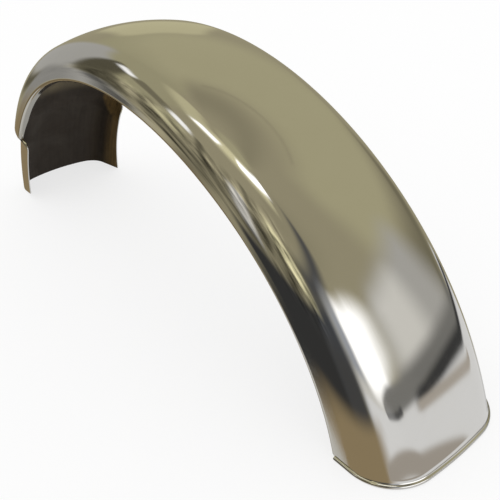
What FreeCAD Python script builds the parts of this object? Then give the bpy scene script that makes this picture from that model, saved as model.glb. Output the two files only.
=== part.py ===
import FreeCAD, Part
import math
import os

import Sketcher
from FreeCAD import Placement, Rotation, Vector

# Rear mudguard of a motorcycle: one bent blade of thin polished sheet.
# The blade is an arc about the wheel axle. It stands here on its two level-cut ends,
# rear end at +X, with the wheel axle along Y below the floor.
# Half of it is drawn, on the side of +Y, and mirrored. The lip stops sooner on the side of +Y.

doc = FreeCAD.newDocument("rear_mudguard")

# Driving sizes, in millimetres and degrees
SIZES = {
    # path of the crown, seen from the side
    "crown_radius": 350.0,
    "axle_below_floor": 109.0,
    # sheet
    "gauge": 1.2,
    # main section: half width and depth at the sharp corner of the turned-in edge
    "half_width": 66.0,
    "depth": 37.0,
    "wall_draft": 4.6,
    "corner_radius": 27.0,
    "camber_radius": 188.0,
    "fold_radius": 3.5,
    "lip_width": 8.0,
    # deeper section at the rear end, on the level cut
    "rear_half_width": 65.0,
    "rear_depth": 58.5,
    "rear_draft": 0.5,
    "rear_corner_radius": 39.0,
    "rear_camber_radius": 360.0,
    "flare_arc": 38.0,
    # bead rolled round the rear edge
    "bead_radius": 1.7,
    "bead_stand": 1.5,
    # front end: the turned-in edge stops, the sheet steps in and runs on as a plain tongue
    "lip_stop_angle": 140.6,
    "far_lip_stop_angle": 134.5,
    "step_arc": 1.7,
    "step_in": 2.0,
    "tongue_half_width": 64.0,
    "tongue_depth": 64.0,
    "tongue_draft": 9.7,
    "tongue_corner_radius": 27.5,
    "tongue_camber_radius": 150.0,
    "tongue_over_run": 12.0,
    # free edge of the unfolded wall, a sweep that runs deeper towards the floor
    "wall_run": 20.0,
    "edge_radius": 225.0,
    "edge_top_depth": 50.5,
    "edge_top_angle": 120.0,
    "edge_low_depth": 68.5,
    "edge_low_angle": 166.0,
    "shoulder_round": 8.0,
    # slanted trim under the near wall of the tongue
    "trim_set_back": 31.0,
    "trim_slope": 14.0,
}

sheet = doc.addObject("Spreadsheet::Sheet", "sizes")
for row, (alias, value) in enumerate(SIZES.items(), start=1):
    sheet.set("A%d" % row, alias)
    sheet.set("B%d" % row, str(value))
    sheet.setAlias("B%d" % row, alias)
doc.recompute()


def cell(alias):
    """A size as an expression and as a number."""
    return ("sizes.%s" % alias, SIZES[alias])


def between(first, last, share):
    """The size that lies a share of the way from one cell to another."""
    text = "(sizes.%s + (sizes.%s - sizes.%s) * %.6f)" % (first, last, first, share)
    return (text, SIZES[first] + (SIZES[last] - SIZES[first]) * share)


body = doc.addObject("PartDesign::Body", "mudguard_blade")
body.Label = "mudguard_blade"
origin = {}
for feature in body.Origin.OriginFeatures:
    origin[feature.Role] = feature

# Angle of the crown's rear end about the axle, where the bead's middle is one radius above the floor
REAR_TEXT = "asin((sizes.axle_below_floor + sizes.bead_radius) / sizes.crown_radius)"
REAR_ANGLE = math.degrees(
    math.asin((SIZES["axle_below_floor"] + SIZES["bead_radius"]) / SIZES["crown_radius"]))

# How far in front of the axle the tongue's outer face meets the floor
FRONT_TEXT = "sqrt((sizes.crown_radius - sizes.step_in) ^ 2 - sizes.axle_below_floor ^ 2)"
FRONT = math.sqrt((SIZES["crown_radius"] - SIZES["step_in"]) ** 2 - SIZES["axle_below_floor"] ** 2)

# Body axes: Y is the wheel axle, X points to the rear, Z up.
# The blade's origin on the floor is midway between the bead and the tongue's front edge.
AXLE_TEXT = "(%s - sizes.crown_radius * cos(%s) - sizes.bead_stand) / 2" % (FRONT_TEXT, REAR_TEXT)
AXLE_X = 0.5 * (
    FRONT - SIZES["crown_radius"] * math.cos(math.radians(REAR_ANGLE)) - SIZES["bead_stand"])
body.Placement = Placement(Vector(AXLE_X, 0, -SIZES["axle_below_floor"]), Rotation())
body.setExpression("Placement.Base.x", AXLE_TEXT)
body.setExpression("Placement.Base.z", "-sizes.axle_below_floor")


def set_on_crown(sketch, angle, tilt, inset=("0", 0.0)):
    """Put a section sketch's origin on the crown at an angle about the axle.

    Its vertical axis points out from the axle, less a tilt towards the level.
    The inset moves it in towards the axle.
    """
    sketch.AttachmentSupport = [(origin["YZ_Plane"], "")]
    sketch.MapMode = "FlatFace"
    turn = 90.0 - angle[1] + tilt[1]
    at = math.radians(angle[1])
    reach = SIZES["crown_radius"] - inset[1]
    base = Vector(0, reach * math.sin(at), reach * math.cos(at))
    sketch.AttachmentOffset = Placement(base, Rotation(Vector(1, 0, 0), turn))
    reach_text = "(sizes.crown_radius - %s)" % inset[0]
    sketch.setExpression("AttachmentOffset.Base.y", "%s * sin(%s)" % (reach_text, angle[0]))
    sketch.setExpression("AttachmentOffset.Base.z", "%s * cos(%s)" % (reach_text, angle[0]))
    sketch.setExpression("AttachmentOffset.Rotation.Angle", "90 deg - %s + %s" % (angle[0], tilt[0]))


def corner_place(width, depth, draft, corner, camber):
    """Centre of the corner arc that is tangent to the crown arc and to the sloping wall.

    The wall passes through (width, -depth) and the crown's top is the origin.
    """
    lean = math.radians(draft)
    side = width - corner * math.cos(lean)
    rise = camber - depth - corner * math.sin(lean)
    half = rise * math.cos(lean) - side * math.sin(lean)
    rest = side * side + rise * rise - (camber - corner) ** 2
    along = -half + math.sqrt(half * half - rest)
    return Vector(side - along * math.sin(lean), rise + along * math.cos(lean) - camber, 0)


def arc(centre, radius, first, last):
    """Arc between two angles in degrees, anticlockwise."""
    circle = Part.Circle(centre, Vector(0, 0, 1), radius)
    return Part.ArcOfCircle(circle, math.radians(first), math.radians(last))


def polar(centre, radius, angle):
    """Point at an angle in degrees about a centre."""
    at = math.radians(angle)
    return centre + Vector(radius * math.cos(at), radius * math.sin(at), 0)


def bind(sketch, index, name, expression):
    """Name a constraint and drive it from the sheet."""
    sketch.renameConstraint(index, name)
    sketch.setExpression("Constraints." + name, expression)


def crown_line(sketch, half_width, depth, draft, corner, camber, foot):
    """Outer line of a half section: crown arc, corner arc and wall, down to a foot on the wall.

    The foot is how far above (width, -depth) the wall ends, measured along it.
    """
    centre = corner_place(half_width[1], depth[1], draft[1], corner[1], camber[1])
    top = Vector(0, -camber[1], 0)
    meet = math.degrees(math.atan2(centre.y - top.y, centre.x))
    lean = math.radians(draft[1])
    end = Vector(half_width[1] - foot * math.sin(lean), foot * math.cos(lean) - depth[1], 0)
    crown = sketch.addGeometry(arc(top, camber[1], meet, 90.0))
    bend = sketch.addGeometry(arc(centre, corner[1], draft[1], meet))
    wall = sketch.addGeometry(Part.LineSegment(end, polar(centre, corner[1], draft[1])))
    sketch.addConstraint(Sketcher.Constraint("Coincident", crown, 2, -1, 1))
    sketch.addConstraint(Sketcher.Constraint("PointOnObject", crown, 3, -2))
    sketch.addConstraint(Sketcher.Constraint("Tangent", crown, 1, bend, 2))
    sketch.addConstraint(Sketcher.Constraint("Tangent", bend, 1, wall, 2))
    index = sketch.addConstraint(Sketcher.Constraint("Radius", crown, camber[1]))
    bind(sketch, index, "camber", camber[0])
    index = sketch.addConstraint(Sketcher.Constraint("Radius", bend, corner[1]))
    bind(sketch, index, "corner", corner[0])
    index = sketch.addConstraint(Sketcher.Constraint("Angle", wall, math.radians(90.0 + draft[1])))
    bind(sketch, index, "draft", "(90 + %s) * 1 deg" % draft[0])
    return crown, bend, wall, centre, top, meet, end


def inner_line(sketch, crown, bend, centre, top, meet, draft, corner, camber, end):
    """Inner line of a half section, one gauge inside the outer arcs, and its cut at the middle."""
    gauge = SIZES["gauge"]
    lean = math.radians(draft[1])
    foot = end + Vector(-gauge * math.cos(lean), -gauge * math.sin(lean), 0)
    crown_in = sketch.addGeometry(arc(top, camber[1] - gauge, meet, 90.0))
    bend_in = sketch.addGeometry(arc(centre, corner[1] - gauge, draft[1], meet))
    wall_in = sketch.addGeometry(Part.LineSegment(foot, polar(centre, corner[1] - gauge, draft[1])))
    middle = sketch.addGeometry(Part.LineSegment(Vector(0, -gauge, 0), Vector(0, 0, 0)))
    sketch.addConstraint(Sketcher.Constraint("Coincident", crown_in, 3, crown, 3))
    sketch.addConstraint(Sketcher.Constraint("Coincident", bend_in, 3, bend, 3))
    sketch.addConstraint(Sketcher.Constraint("Tangent", crown_in, 1, bend_in, 2))
    sketch.addConstraint(Sketcher.Constraint("Tangent", bend_in, 1, wall_in, 2))
    sketch.addConstraint(Sketcher.Constraint("Coincident", crown_in, 2, middle, 1))
    sketch.addConstraint(Sketcher.Constraint("Coincident", middle, 2, crown, 2))
    sketch.addConstraint(Sketcher.Constraint("Vertical", middle))
    index = sketch.addConstraint(Sketcher.Constraint("Distance", middle, gauge))
    bind(sketch, index, "gauge", "sizes.gauge")
    return wall_in


def lipped_section(name, half_width, depth, draft, corner, camber):
    """Half section of the blade with its edge folded and turned in as a lip."""
    sketch = body.newObject("Sketcher::SketchObject", name)
    gauge = SIZES["gauge"]
    fold = SIZES["fold_radius"]
    lip = SIZES["lip_width"]
    lean = math.radians(draft[1])
    out = Vector(math.cos(lean), math.sin(lean), 0)
    down = Vector(math.sin(lean), -math.cos(lean), 0)
    crown, bend, wall, centre, top, meet, end = crown_line(
        sketch, half_width, depth, draft, corner, camber, fold)
    sharp = Vector(half_width[1], -depth[1], 0)
    pivot = end - out * fold
    tip = sharp - out * lip
    turn = sketch.addGeometry(arc(pivot, fold, draft[1] - 90.0, draft[1]))
    lip_out = sketch.addGeometry(Part.LineSegment(tip, pivot + down * fold))
    cap = sketch.addGeometry(Part.LineSegment(tip - down * gauge, tip))
    lip_in = sketch.addGeometry(Part.LineSegment(tip - down * gauge, pivot + down * (fold - gauge)))
    turn_in = sketch.addGeometry(arc(pivot, fold - gauge, draft[1] - 90.0, draft[1]))
    wall_in = inner_line(sketch, crown, bend, centre, top, meet, draft, corner, camber, end)
    corner_mark = sketch.addGeometry(Part.Point(sharp), True)
    sketch.addConstraint(Sketcher.Constraint("Tangent", wall, 1, turn, 2))
    sketch.addConstraint(Sketcher.Constraint("Tangent", turn, 1, lip_out, 2))
    sketch.addConstraint(Sketcher.Constraint("Perpendicular", wall, lip_out))
    sketch.addConstraint(Sketcher.Constraint("Coincident", lip_out, 1, cap, 2))
    sketch.addConstraint(Sketcher.Constraint("Perpendicular", lip_out, cap))
    sketch.addConstraint(Sketcher.Constraint("Coincident", cap, 1, lip_in, 1))
    sketch.addConstraint(Sketcher.Constraint("Parallel", lip_in, lip_out))
    sketch.addConstraint(Sketcher.Constraint("Coincident", turn_in, 3, turn, 3))
    sketch.addConstraint(Sketcher.Constraint("Tangent", lip_in, 2, turn_in, 1))
    sketch.addConstraint(Sketcher.Constraint("Tangent", turn_in, 2, wall_in, 1))
    sketch.addConstraint(Sketcher.Constraint("PointOnObject", corner_mark, 1, wall))
    sketch.addConstraint(Sketcher.Constraint("PointOnObject", corner_mark, 1, lip_out))
    index = sketch.addConstraint(Sketcher.Constraint("Radius", turn, fold))
    bind(sketch, index, "fold", "sizes.fold_radius")
    index = sketch.addConstraint(Sketcher.Constraint("Distance", cap, gauge))
    bind(sketch, index, "lip_gauge", "sizes.gauge")
    index = sketch.addConstraint(Sketcher.Constraint("Distance", corner_mark, 1, lip_out, 1, lip))
    bind(sketch, index, "lip", "sizes.lip_width")
    index = sketch.addConstraint(Sketcher.Constraint("DistanceX", -1, 1, corner_mark, 1, half_width[1]))
    bind(sketch, index, "half_width", half_width[0])
    index = sketch.addConstraint(Sketcher.Constraint("DistanceY", corner_mark, 1, -1, 1, depth[1]))
    bind(sketch, index, "depth", depth[0])
    return sketch


def plain_section(name, half_width, depth, draft, corner, camber):
    """Half section of plain sheet whose wall ends in a square-cut edge."""
    sketch = body.newObject("Sketcher::SketchObject", name)
    crown, bend, wall, centre, top, meet, end = crown_line(
        sketch, half_width, depth, draft, corner, camber, 0.0)
    wall_in = inner_line(sketch, crown, bend, centre, top, meet, draft, corner, camber, end)
    lean = math.radians(draft[1])
    gauge = SIZES["gauge"]
    foot = end + Vector(-gauge * math.cos(lean), -gauge * math.sin(lean), 0)
    cap = sketch.addGeometry(Part.LineSegment(foot, end))
    sketch.addConstraint(Sketcher.Constraint("Coincident", cap, 2, wall, 1))
    sketch.addConstraint(Sketcher.Constraint("Coincident", cap, 1, wall_in, 1))
    sketch.addConstraint(Sketcher.Constraint("Perpendicular", cap, wall))
    index = sketch.addConstraint(Sketcher.Constraint("Distance", cap, gauge))
    bind(sketch, index, "edge_gauge", "sizes.gauge")
    index = sketch.addConstraint(Sketcher.Constraint("DistanceX", -1, 1, wall, 1, half_width[1]))
    bind(sketch, index, "half_width", half_width[0])
    index = sketch.addConstraint(Sketcher.Constraint("DistanceY", wall, 1, -1, 1, depth[1]))
    bind(sketch, index, "depth", depth[0])
    return sketch


# Main blade: the lipped section turned about the axle
FLARE_TEXT = "(%s + sizes.flare_arc * 1 deg)" % REAR_TEXT
FLARE_ANGLE = REAR_ANGLE + SIZES["flare_arc"]
LEVEL = ("0 deg", 0.0)
STOP = ("(sizes.lip_stop_angle * 1 deg)", SIZES["lip_stop_angle"])
MAIN_NAMES = ("half_width", "depth", "wall_draft", "corner_radius", "camber_radius")
MAIN = [cell(alias) for alias in MAIN_NAMES]

main_section = lipped_section("main_section", *MAIN)
set_on_crown(main_section, STOP, LEVEL)
doc.recompute()
blade = body.newObject("PartDesign::Revolution", "blade")
blade.Profile = main_section
blade.ReferenceAxis = (origin["Y_Axis"], [""])
blade.Angle = SIZES["lip_stop_angle"] - FLARE_ANGLE
blade.setExpression("Angle", "%s - %s" % (STOP[0], FLARE_TEXT))
doc.recompute()

# Rear stretch: the walls grow deeper towards the level-cut end
REAR = ("rear_half_width", "rear_depth", "rear_draft", "rear_corner_radius", "rear_camber_radius")
FLARE_STATIONS = (0.0, 1 / 3, 2 / 3, 1.0)
flare_sections = []
for number, share in enumerate(FLARE_STATIONS):
    growth = share ** 2
    sizes_here = [between(first, last, growth) for first, last in zip(MAIN_NAMES, REAR)]
    section = lipped_section("flare_section_%d" % number, *sizes_here)
    angle_text = "(%s + sizes.flare_arc * %.6f * 1 deg)" % (REAR_TEXT, 1.0 - share)
    angle = (angle_text, REAR_ANGLE + SIZES["flare_arc"] * (1.0 - share))
    set_on_crown(section, angle, ("%s * %.6f" % (REAR_TEXT, share), REAR_ANGLE * share))
    flare_sections.append(section)
doc.recompute()
flare = body.newObject("PartDesign::AdditiveLoft", "flare")
flare.Profile = flare_sections[0]
flare.Sections = flare_sections[1:]
doc.recompute()

# Bead round the rear edge, from the crown to the foot of the wall
bead_line = body.newObject("Sketcher::SketchObject", "bead_line")
STAND_TEXT = "(sizes.bead_stand - sizes.bead_radius)"
STAND = SIZES["bead_stand"] - SIZES["bead_radius"]
bead_sizes = []
for alias in REAR:
    if alias == "rear_draft":
        bead_sizes.append(cell(alias))
    elif alias == "rear_depth":
        text = "(sizes.rear_depth - %s * sin(sizes.rear_draft * 1 deg))" % STAND_TEXT
        number = SIZES[alias] - STAND * math.sin(math.radians(SIZES["rear_draft"]))
        bead_sizes.append(("(%s + %s)" % (text, STAND_TEXT), number + STAND))
    elif alias == "rear_half_width":
        text = "(sizes.rear_half_width + %s * cos(sizes.rear_draft * 1 deg))" % STAND_TEXT
        bead_sizes.append((text, SIZES[alias] + STAND * math.cos(math.radians(SIZES["rear_draft"]))))
    else:
        bead_sizes.append(("(sizes.%s + %s)" % (alias, STAND_TEXT), SIZES[alias] + STAND))
crown, bend, wall, centre, top, meet, end = crown_line(bead_line, *bead_sizes, 0.0)
index = bead_line.addConstraint(Sketcher.Constraint("DistanceX", -1, 1, wall, 1, bead_sizes[0][1]))
bind(bead_line, index, "half_width", bead_sizes[0][0])
index = bead_line.addConstraint(Sketcher.Constraint("DistanceY", wall, 1, -1, 1, bead_sizes[1][1]))
bind(bead_line, index, "depth", bead_sizes[1][0])
set_on_crown(bead_line, (REAR_TEXT, REAR_ANGLE), (REAR_TEXT, REAR_ANGLE),
             ("(-%s / cos(%s))" % (STAND_TEXT, REAR_TEXT), -STAND / math.cos(math.radians(REAR_ANGLE))))
bead_line.setExpression("AttachmentOffset.Base.y", "sizes.axle_below_floor + sizes.bead_radius")
bead_line.setExpression(
    "AttachmentOffset.Base.z", "sizes.crown_radius * cos(%s) + %s" % (REAR_TEXT, STAND_TEXT))

bead_round = body.newObject("Sketcher::SketchObject", "bead_round")
bead_round.AttachmentSupport = [(origin["XZ_Plane"], "")]
bead_round.MapMode = "FlatFace"
bead_x = SIZES["crown_radius"] * math.cos(math.radians(REAR_ANGLE)) + STAND
bead_z = SIZES["axle_below_floor"] + SIZES["bead_radius"]
ring = bead_round.addGeometry(
    Part.Circle(Vector(bead_x, bead_z, 0), Vector(0, 0, 1), SIZES["bead_radius"]))
index = bead_round.addConstraint(Sketcher.Constraint("Radius", ring, SIZES["bead_radius"]))
bind(bead_round, index, "bead_radius", "sizes.bead_radius")
index = bead_round.addConstraint(Sketcher.Constraint("DistanceX", -1, 1, ring, 3, bead_x))
bind(bead_round, index, "out", "sizes.crown_radius * cos(%s) + %s" % (REAR_TEXT, STAND_TEXT))
index = bead_round.addConstraint(Sketcher.Constraint("DistanceY", -1, 1, ring, 3, bead_z))
bind(bead_round, index, "up", "sizes.axle_below_floor + sizes.bead_radius")
doc.recompute()
bead = body.newObject("PartDesign::AdditivePipe", "bead")
bead.Profile = bead_round
bead.Spine = (bead_line, ["Edge1", "Edge2", "Edge3"])
doc.recompute()

# Step where the lip stops: the wall is no longer folded, so it is deeper, and the sheet moves in
DRAFT_TEXT = "(sizes.wall_draft * 1 deg)"
DRAFT = math.radians(SIZES["wall_draft"])


def on_wall(down, out):
    """Place in a section, measured along the wall from its sharp corner and out from its face."""
    across = "(sizes.half_width + %s * sin(%s) + %s * cos(%s))" % (down[0], DRAFT_TEXT, out[0], DRAFT_TEXT)
    up = "(-sizes.depth - %s * cos(%s) + %s * sin(%s))" % (down[0], DRAFT_TEXT, out[0], DRAFT_TEXT)
    across_now = SIZES["half_width"] + down[1] * math.sin(DRAFT) + out[1] * math.cos(DRAFT)
    up_now = -SIZES["depth"] - down[1] * math.cos(DRAFT) + out[1] * math.sin(DRAFT)
    return (across, across_now), (up, up_now)


def outline(sketch, corners):
    """Closed outline of straight sides through corners that are held at their places."""
    points = [Vector(across[1], up[1], 0) for across, up in corners]
    sides = []
    for first, last in zip(points, points[1:] + points[:1]):
        sides.append(sketch.addGeometry(Part.LineSegment(first, last)))
    for first, last in zip(sides, sides[1:] + sides[:1]):
        sketch.addConstraint(Sketcher.Constraint("Coincident", first, 2, last, 1))
    for number, (side, places) in enumerate(zip(sides, corners)):
        for rule, (text, now) in zip(("DistanceX", "DistanceY"), places):
            if now < 0:
                index = sketch.addConstraint(Sketcher.Constraint(rule, side, 1, -1, 1, -now))
                bind(sketch, index, "%s_%d" % (rule, number), "-(%s)" % text)
            else:
                index = sketch.addConstraint(Sketcher.Constraint(rule, -1, 1, side, 1, now))
                bind(sketch, index, "%s_%d" % (rule, number), text)


TONGUE = [cell(alias) for alias in (
    "tongue_half_width", "tongue_depth", "tongue_draft", "tongue_corner_radius", "tongue_camber_radius")]
STEP = ("((sizes.lip_stop_angle + sizes.step_arc) * 1 deg)", SIZES["lip_stop_angle"] + SIZES["step_arc"])
INSET = cell("step_in")
FACE = ("0", 0.0)
unfolded_foot = on_wall(cell("wall_run"), FACE)
unfolded_depth = ("(-%s)" % unfolded_foot[1][0], -unfolded_foot[1][1])
step_from = plain_section("step_from", unfolded_foot[0], unfolded_depth, *MAIN[2:])
set_on_crown(step_from, STOP, LEVEL)
step_to = plain_section("step_to", *TONGUE)
set_on_crown(step_to, STEP, LEVEL, INSET)
doc.recompute()
step = body.newObject("PartDesign::AdditiveLoft", "step")
step.Profile = step_from
step.Sections = [step_to]
step.Ruled = True
doc.recompute()

# Tongue: plain sheet turned about the axle, past the floor
tongue_section = plain_section("tongue_section", *TONGUE)
set_on_crown(tongue_section, STEP, LEVEL, INSET)
doc.recompute()
tongue = body.newObject("PartDesign::Revolution", "tongue")
tongue.Profile = tongue_section
tongue.ReferenceAxis = (origin["Y_Axis"], [""])
tongue.Reversed = True
FRONT_ANGLE_TEXT = "(180 deg - asin(sizes.axle_below_floor / sizes.crown_radius))"
FRONT_ANGLE = 180.0 - math.degrees(math.asin(SIZES["axle_below_floor"] / SIZES["crown_radius"]))
tongue.Angle = FRONT_ANGLE + SIZES["tongue_over_run"] - STEP[1]
tongue.setExpression("Angle", "%s + sizes.tongue_over_run * 1 deg - %s" % (FRONT_ANGLE_TEXT, STEP[0]))
doc.recompute()

# Other half
mirrored = body.newObject("PartDesign::Mirrored", "both_halves")
mirrored.Originals = [blade, flare, bead, step, tongue]
mirrored.MirrorPlane = (origin["XZ_Plane"], [""])
body.Tip = mirrored
doc.recompute()

# On the side of +Y the lip stops sooner: from there its fold is cut away and the wall runs on plain
FAR_ARC = ("((sizes.lip_stop_angle - sizes.far_lip_stop_angle) * 1 deg)",
           SIZES["lip_stop_angle"] - SIZES["far_lip_stop_angle"])
FOLD_START = ("(-sizes.fold_radius)", -SIZES["fold_radius"])
CLEAR = ("(2 * sizes.gauge)", 2 * SIZES["gauge"])
LIP_CLEAR = ("(-sizes.lip_width - 2 * sizes.gauge)", -SIZES["lip_width"] - 2 * SIZES["gauge"])
INNER_FACE = ("(-sizes.gauge)", -SIZES["gauge"])


# Least volume that a cut takes away, in cubic millimetres
LEAST_CUT = 10.0


def turned(kind, name, profile, angle):
    """Section turned about the axle, from where the lip stops towards the crown."""
    feature = body.newObject(kind, name)
    feature.Profile = profile
    feature.ReferenceAxis = (origin["Y_Axis"], [""])
    feature.Angle = angle[1]
    feature.setExpression("Angle", angle[0])
    doc.recompute()
    return feature


fold_area = body.newObject("Sketcher::SketchObject", "far_fold_area")
outline(fold_area, [on_wall(FOLD_START, CLEAR), on_wall(CLEAR, CLEAR),
                    on_wall(CLEAR, LIP_CLEAR), on_wall(FOLD_START, LIP_CLEAR)])
set_on_crown(fold_area, STOP, LEVEL)
doc.recompute()
lip_cut = turned("PartDesign::Groove", "far_lip_cut", fold_area, FAR_ARC)
if lip_cut.Shape.Volume > mirrored.Shape.Volume - LEAST_CUT:
    raise RuntimeError("the far lip was not cut")

wall_strip = body.newObject("Sketcher::SketchObject", "far_wall_strip")
outline(wall_strip, [on_wall(FOLD_START, FACE), on_wall(cell("wall_run"), FACE),
                     on_wall(cell("wall_run"), INNER_FACE), on_wall(FOLD_START, INNER_FACE)])
set_on_crown(wall_strip, STOP, LEVEL)
doc.recompute()
far_wall = turned("PartDesign::Revolution", "far_wall", wall_strip, FAR_ARC)

# Free edge of the unfolded wall, seen from the side: one sweep through two spots about the axle.
# Its upper end turns out in a round shoulder to where the lip stops.
AXLE = Vector(0, 0, 0)


def edge_spot(place):
    """Spot on the sweep, given about the axle."""
    reach = SIZES["crown_radius"] - SIZES["edge_%s_depth" % place]
    return polar(AXLE, reach, SIZES["edge_%s_angle" % place])


def held_spoke(sketch, end, angle, name, reach=None):
    """Line from the axle at a held angle, and with a held length where a reach is given."""
    spoke = sketch.addGeometry(Part.LineSegment(AXLE, end), reach is None)
    sketch.addConstraint(Sketcher.Constraint("Coincident", spoke, 1, -1, 1))
    index = sketch.addConstraint(Sketcher.Constraint("Angle", spoke, math.radians(SIZES[angle])))
    bind(sketch, index, name + "_angle", "sizes.%s * 1 deg" % angle)
    if reach:
        index = sketch.addConstraint(Sketcher.Constraint("Distance", spoke, end.Length))
        bind(sketch, index, name + "_reach", reach)
    return spoke


def free_edge(name, stop):
    """Area inside the sweep, from past the floor up to a shoulder at the angle where a lip stops."""
    radius = SIZES["edge_radius"]
    shoulder = SIZES["shoulder_round"]
    top, low = edge_spot("top"), edge_spot("low")
    half_chord = (low - top) * 0.5
    inward = Vector(-half_chord.y, half_chord.x, 0).normalize()
    middle = top + half_chord + inward * math.sqrt(radius ** 2 - half_chord.Length ** 2)
    out = polar(AXLE, 1.0, SIZES[stop])
    on = Vector(-out.y, out.x, 0)
    rise = math.sqrt((radius + shoulder) ** 2 - (shoulder - middle.dot(on)) ** 2)
    round_middle = out * (middle.dot(out) + rise) + on * shoulder
    meet = middle + (round_middle - middle) * (radius / (radius + shoulder))
    start = round_middle - on * shoulder
    clear = start - on * SIZES["wall_run"]

    def turn(point, centre):
        return math.degrees(math.atan2(point.y - centre.y, point.x - centre.x)) % 360.0

    sketch = body.newObject("Sketcher::SketchObject", name)
    sketch.AttachmentSupport = [(origin["XZ_Plane"], "")]
    sketch.MapMode = "FlatFace"
    sweep = sketch.addGeometry(arc(middle, radius, turn(meet, middle), turn(low, middle)))
    bend_ends = turn(start, round_middle), turn(meet, round_middle)
    bend = sketch.addGeometry(arc(round_middle, shoulder, *bend_ends))
    aside = sketch.addGeometry(Part.LineSegment(start, clear))
    home = sketch.addGeometry(Part.LineSegment(clear, AXLE))
    low_spoke = held_spoke(sketch, low, "edge_low_angle", "low", "sizes.crown_radius - sizes.edge_low_depth")
    top_spoke = held_spoke(sketch, top, "edge_top_angle", "top", "sizes.crown_radius - sizes.edge_top_depth")
    sketch.toggleConstruction(top_spoke)
    stop_spoke = held_spoke(sketch, start, stop, "stop")
    sketch.addConstraint(Sketcher.Constraint("Coincident", low_spoke, 2, sweep, 2))
    sketch.addConstraint(Sketcher.Constraint("PointOnObject", top_spoke, 2, sweep))
    sketch.addConstraint(Sketcher.Constraint("Tangent", sweep, 1, bend, 2))
    sketch.addConstraint(Sketcher.Constraint("Tangent", bend, 1, stop_spoke, 2))
    sketch.addConstraint(Sketcher.Constraint("Coincident", aside, 1, bend, 1))
    sketch.addConstraint(Sketcher.Constraint("Perpendicular", aside, stop_spoke))
    sketch.addConstraint(Sketcher.Constraint("Coincident", home, 1, aside, 2))
    sketch.addConstraint(Sketcher.Constraint("Coincident", home, 2, -1, 1))
    for item, size in ((sweep, "edge_radius"), (bend, "shoulder_round")):
        index = sketch.addConstraint(Sketcher.Constraint("Radius", item, SIZES[size]))
        bind(sketch, index, size, "sizes." + size)
    index = sketch.addConstraint(Sketcher.Constraint("Distance", aside, SIZES["wall_run"]))
    bind(sketch, index, "clear", "sizes.wall_run")
    return sketch


def one_side_cut(name, profile, near, before):
    """Cut through one side of the blade, checked against the shape before it."""
    cut = body.newObject("PartDesign::Pocket", name)
    cut.Profile = profile
    cut.Type = "Length"
    cut.Length = 2 * SIZES["half_width"]
    cut.setExpression("Length", "2 * sizes.half_width")
    cut.Reversed = near
    body.Tip = cut
    doc.recompute()
    if cut.Shape.Volume > before.Shape.Volume - LEAST_CUT:
        raise RuntimeError("%s removed nothing" % name)
    return cut


far_edge = free_edge("far_edge", "far_lip_stop_angle")
doc.recompute()
far_edge_cut = one_side_cut("far_edge_cut", far_edge, False, far_wall)
near_edge = free_edge("near_edge", "lip_stop_angle")
doc.recompute()
near_edge_cut = one_side_cut("near_edge_cut", near_edge, True, far_edge_cut)

# Level cut at the front end, at the floor
FLOOR = ("sizes.axle_below_floor", SIZES["axle_below_floor"])
PAST = ("(-1.2 * sizes.crown_radius)", -1.2 * SIZES["crown_radius"])
MIDDLE = ("0", 0.0)
cut_area = body.newObject("Sketcher::SketchObject", "front_cut")
cut_area.AttachmentSupport = [(origin["XZ_Plane"], "")]
cut_area.MapMode = "FlatFace"
outline(cut_area, [(PAST, PAST), (MIDDLE, PAST), (MIDDLE, FLOOR), (PAST, FLOOR)])
doc.recompute()
front_cut = body.newObject("PartDesign::Pocket", "front_level")
front_cut.Profile = cut_area
front_cut.Type = "ThroughAll"
front_cut.Midplane = True
doc.recompute()
if front_cut.Shape.Volume > near_edge_cut.Shape.Volume - LEAST_CUT:
    raise RuntimeError("the front cut removed nothing")

# The lower edge of the tongue's wall on the side of -Y is trimmed up towards its free edge
TRIM_START = ("(sizes.trim_set_back - %s)" % FRONT_TEXT, SIZES["trim_set_back"] - FRONT)
TRIM_END = ("(%s + sizes.tongue_depth)" % TRIM_START[0], TRIM_START[1] + SIZES["tongue_depth"])
RISE = SIZES["tongue_depth"] * math.tan(math.radians(SIZES["trim_slope"]))
TRIM_RISE = ("(sizes.axle_below_floor + sizes.tongue_depth * tan(sizes.trim_slope * 1 deg))",
             FLOOR[1] + RISE)
trim_area = body.newObject("Sketcher::SketchObject", "near_trim")
trim_area.AttachmentSupport = [(origin["XZ_Plane"], "")]
trim_area.MapMode = "FlatFace"
outline(trim_area, [(TRIM_START, FLOOR), (TRIM_END, FLOOR), (TRIM_END, TRIM_RISE)])
doc.recompute()
one_side_cut("near_trim_cut", trim_area, True, front_cut)

# Check every object, then write the blade
for item in doc.Objects:
    for word in item.State:
        if word in ("Invalid", "Error"):
            raise RuntimeError("%s is %s" % (item.Name, word))
shape = body.Shape
if shape.isNull() or not shape.isValid():
    raise RuntimeError("the blade is not a valid shape")
if len(shape.Solids) != 1:
    raise RuntimeError("the blade has %d solids" % len(shape.Solids))
box = shape.optimalBoundingBox(False)
print("blade X %.2f to %.2f, Y %.2f to %.2f, Z %.2f to %.2f" % (
    box.XMin, box.XMax, box.YMin, box.YMax, box.ZMin, box.ZMax))
print("volume %.0f mm3, %d faces" % (shape.Volume, len(shape.Faces)))

os.makedirs("parts", exist_ok=True)
shape.exportStep("parts/%s.step" % body.Label)
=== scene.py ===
# %% [markdown]
# # A motorcycle's rear mudguard
# The real object is one sheet of steel, rolled into an arch over the wheel and polished on the outside.
# This lesson rebuilds it as one mesh, gives it a polished outside and a dull inside, and photographs it
# in a small studio. The measured part comes first, because everything else has to lie on it.

# %% Load the measured part
import math
from collections import namedtuple

import bmesh
import bpy
from mathutils import Matrix, Vector


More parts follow.
